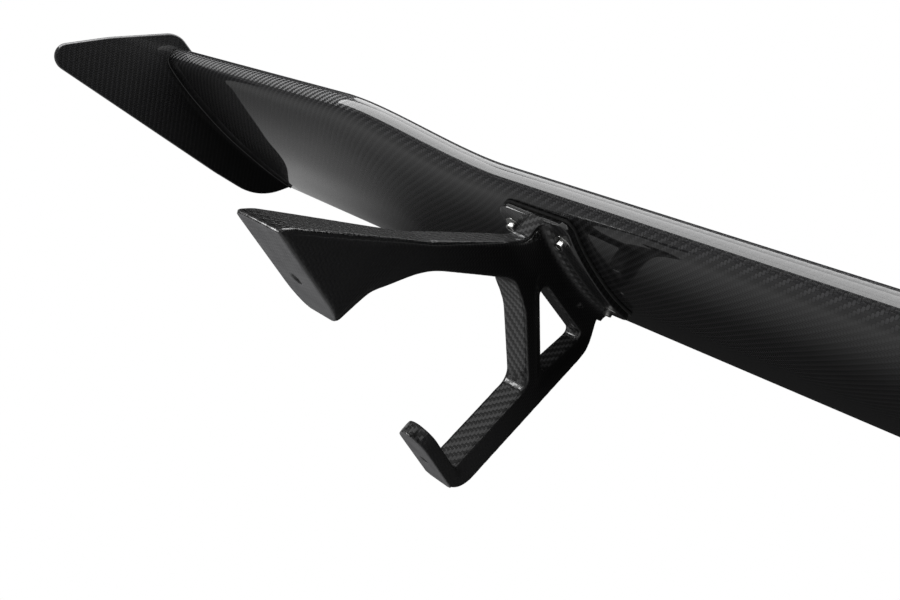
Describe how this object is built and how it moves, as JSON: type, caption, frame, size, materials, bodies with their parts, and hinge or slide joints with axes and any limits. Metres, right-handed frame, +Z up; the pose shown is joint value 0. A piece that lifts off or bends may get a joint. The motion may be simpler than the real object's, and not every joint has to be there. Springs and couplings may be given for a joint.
{
  "type": "racing rear wing",
  "caption": "Hollow carbon blade with stepped leading edge between two drooped end plates, carried under its belly by two angled uprights with foot pads.",
  "frame": {"origin": "centre of the bounding box in plan, on the plane of the foot soles", "axes": "+X along the span, +Y from the leading edge towards the trailing edge, +Z up away from the soles; symmetric about the plane x = 0"},
  "size_m": [1.6758, 0.4128, 0.2727],
  "materials": {
    "carbon_clearcoat": "2x2 twill carbon fibre under gloss clear coat",
    "carbon_satin": "2x2 twill carbon fibre, gloss with satin soles",
    "spar_core": "foam core with a carbon cap, hidden",
    "alloy": "machined",
    "gasket_rubber": "matt",
    "screw_steel": "stainless, turned",
    "washer_steel": "stainless, stamped"
  },
  "bodies": {
    "root": {"wing_lower_skin": "carbon_clearcoat", "wing_upper_skin": "carbon_clearcoat", "front_spar": "spar_core", "rear_spar": "spar_core", "end_plate_left": "carbon_clearcoat", "tip_rib_left": "alloy", "end_plate_screw_left_front": "screw_steel", "end_plate_screw_left_middle": "screw_steel", "end_plate_screw_left_rear": "screw_steel", "upright_left": "carbon_satin", "flange_gasket_left": "gasket_rubber", "nut_plate_left_front": "alloy", "flange_screw_left_front_inner": "screw_steel", "flange_washer_left_front_inner": "washer_steel", "flange_screw_left_front_outer": "screw_steel", "flange_washer_left_front_outer": "washer_steel", "nut_plate_left_rear": "alloy", "flange_screw_left_rear_inner": "screw_steel", "flange_washer_left_rear_inner": "washer_steel", "flange_screw_left_rear_outer": "screw_steel", "flange_washer_left_rear_outer": "washer_steel", "end_plate_right": "carbon_clearcoat", "tip_rib_right": "alloy", "end_plate_screw_right_front": "screw_steel", "end_plate_screw_right_middle": "screw_steel", "end_plate_screw_right_rear": "screw_steel", "upright_right": "carbon_satin", "flange_gasket_right": "gasket_rubber", "nut_plate_right_front": "alloy", "flange_screw_right_front_inner": "screw_steel", "flange_washer_right_front_inner": "washer_steel", "flange_screw_right_front_outer": "screw_steel", "flange_washer_right_front_outer": "washer_steel", "nut_plate_right_rear": "alloy", "flange_screw_right_rear_inner": "screw_steel", "flange_washer_right_rear_inner": "washer_steel", "flange_screw_right_rear_outer": "screw_steel", "flange_washer_right_rear_outer": "washer_steel"}
  },
  "joints": []
}
